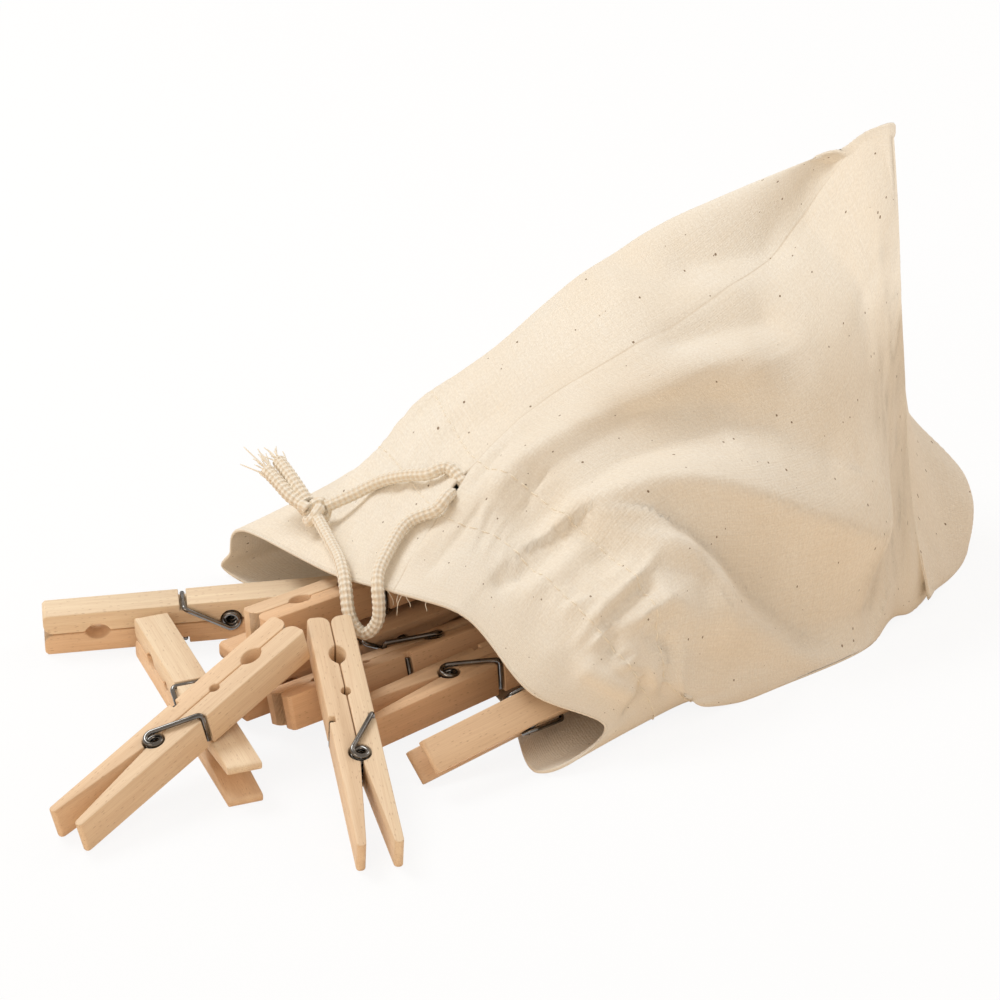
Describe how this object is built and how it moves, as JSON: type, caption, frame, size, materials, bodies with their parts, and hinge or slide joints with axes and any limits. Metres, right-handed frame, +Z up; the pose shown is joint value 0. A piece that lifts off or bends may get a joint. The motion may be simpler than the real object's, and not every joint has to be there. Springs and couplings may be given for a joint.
{
  "type": "peg bag",
  "caption": "Small unbleached-cotton drawstring bag lying on its side, with wooden spring clothes pegs spilling out of its open mouth.",
  "frame": {"origin": "under the middle of the bag and its pegs, on the table it lies on", "axes": "+X from the mouth towards the bottom of the bag along the longest side of its box, +Z up from the table"},
  "size_m": [0.226, 0.1834, 0.101],
  "materials": {
    "cotton": "unbleached plain-weave cotton",
    "cord": "braided cotton cord",
    "beech": "plain sawn beech",
    "spring_steel": "bright drawn wire"
  },
  "bodies": {
    "bag": {"bag_cloth": "cotton", "hem_facing": "cotton", "drawstring_in_casing": "cord", "drawstring_knot": "cord", "drawstring_strand": "cord", "drawstring_loop": "cord", "drawstring_end_a": "cord", "drawstring_end_b": "cord"},
    "peg_01": {"peg_01_lower_half": "beech", "peg_01_spring": "spring_steel"},
    "peg_01_jaw": {"peg_01_upper_half": "beech"},
    "peg_02": {"peg_02_lower_half": "beech", "peg_02_spring": "spring_steel"},
    "peg_02_jaw": {"peg_02_upper_half": "beech"},
    "peg_03": {"peg_03_lower_half": "beech", "peg_03_spring": "spring_steel"},
    "peg_03_jaw": {"peg_03_upper_half": "beech"},
    "peg_04": {"peg_04_lower_half": "beech", "peg_04_upper_half": "beech", "peg_04_spring": "spring_steel"},
    "peg_05": {"peg_05_upper_half": "beech", "peg_05_spring": "spring_steel"},
    "peg_05_jaw": {"peg_05_lower_half": "beech"},
    "peg_06": {"peg_06_lower_half": "beech", "peg_06_upper_half": "beech", "peg_06_spring": "spring_steel"},
    "peg_07": {"peg_07_lower_half": "beech", "peg_07_upper_half": "beech", "peg_07_spring": "spring_steel"},
    "peg_08": {"peg_08_lower_half": "beech", "peg_08_upper_half": "beech", "peg_08_spring": "spring_steel"},
    "peg_09": {"peg_09_upper_half": "beech", "peg_09_spring": "spring_steel"},
    "peg_09_jaw": {"peg_09_lower_half": "beech"},
    "peg_10": {"peg_10_lower_half": "beech", "peg_10_upper_half": "beech", "peg_10_spring": "spring_steel"}
  },
  "joints": [
    {"name": "peg_01_pull", "type": "slide", "parent": "bag", "child": "peg_01", "axis": [-0.9842, 0.0344, 0.1736], "range_m": [0, 0.04]},
    {"name": "peg_01_open", "type": "hinge", "parent": "peg_01", "child": "peg_01_jaw", "pos_m": [-0.06846, 0.012, 0.00651], "axis": [-0.1219, 0.9925, 0], "range_deg": [0, 12], "stiffness_Nm_per_rad": 0.3, "deforming": ["peg_01_spring"]},
    {"name": "peg_02_pull", "type": "slide", "parent": "bag", "child": "peg_02", "axis": [0.4993, -0.8648, 0.0523], "range_m": [0, 0.02]},
    {"name": "peg_02_open", "type": "hinge", "parent": "peg_02", "child": "peg_02_jaw", "pos_m": [-0.07086, -0.0371, 0.00515], "axis": [0.9336, 0.3584, 0], "range_deg": [0, 12], "stiffness_Nm_per_rad": 0.3, "deforming": ["peg_02_spring"]},
    {"name": "peg_03_pull", "type": "slide", "parent": "bag", "child": "peg_03", "axis": [-0.4394, 0.3687, 0.8192], "range_m": [0, 0.04]},
    {"name": "peg_03_open", "type": "hinge", "parent": "peg_03", "child": "peg_03_jaw", "pos_m": [-0.08026, -0.0598, 0.01134], "axis": [-0.1805, -0.197, 0.9636], "range_deg": [0, 12], "stiffness_Nm_per_rad": 0.3, "deforming": ["peg_03_spring"]},
    {"name": "peg_04_pull", "type": "slide", "parent": "bag", "child": "peg_04", "axis": [0.7981, 0.6014, 0.0349], "range_m": [0, 0.006]},
    {"name": "peg_05_pull", "type": "slide", "parent": "bag", "child": "peg_05", "axis": [0.7975, 0.601, 0.0523], "range_m": [0, 0.03]},
    {"name": "peg_05_open", "type": "hinge", "parent": "peg_05", "child": "peg_05_jaw", "pos_m": [-0.02547, 0.00847, 0.01843], "axis": [0.0629, -0.0835, -0.9945], "range_deg": [0, 12], "stiffness_Nm_per_rad": 0.3, "deforming": ["peg_05_spring"]},
    {"name": "peg_06_pull", "type": "slide", "parent": "bag", "child": "peg_06", "axis": [0.7981, 0.6014, 0.0349], "range_m": [0, 0.012]},
    {"name": "peg_07_pull", "type": "slide", "parent": "bag", "child": "peg_07", "axis": [0.7984, 0.6016, 0.0262], "range_m": [0, 0.008]},
    {"name": "peg_08_pull", "type": "slide", "parent": "bag", "child": "peg_08", "axis": [0.2241, -0.8365, 0.5], "range_m": [0, 0.04]},
    {"name": "peg_09_pull", "type": "slide", "parent": "bag", "child": "peg_09", "axis": [0.7943, 0.5985, 0.1045], "range_m": [0, 0.03]},
    {"name": "peg_09_open", "type": "hinge", "parent": "peg_09", "child": "peg_09_jaw", "pos_m": [-0.01628, -0.02533, 0.00795], "axis": [0.0501, 0.0378, -0.998], "range_deg": [0, 12], "stiffness_Nm_per_rad": 0.3, "deforming": ["peg_09_spring"]},
    {"name": "peg_10_pull", "type": "slide", "parent": "bag", "child": "peg_10", "axis": [-0.8525, -0.5122, 0.1045], "range_m": [0, 0.008]}
  ]
}
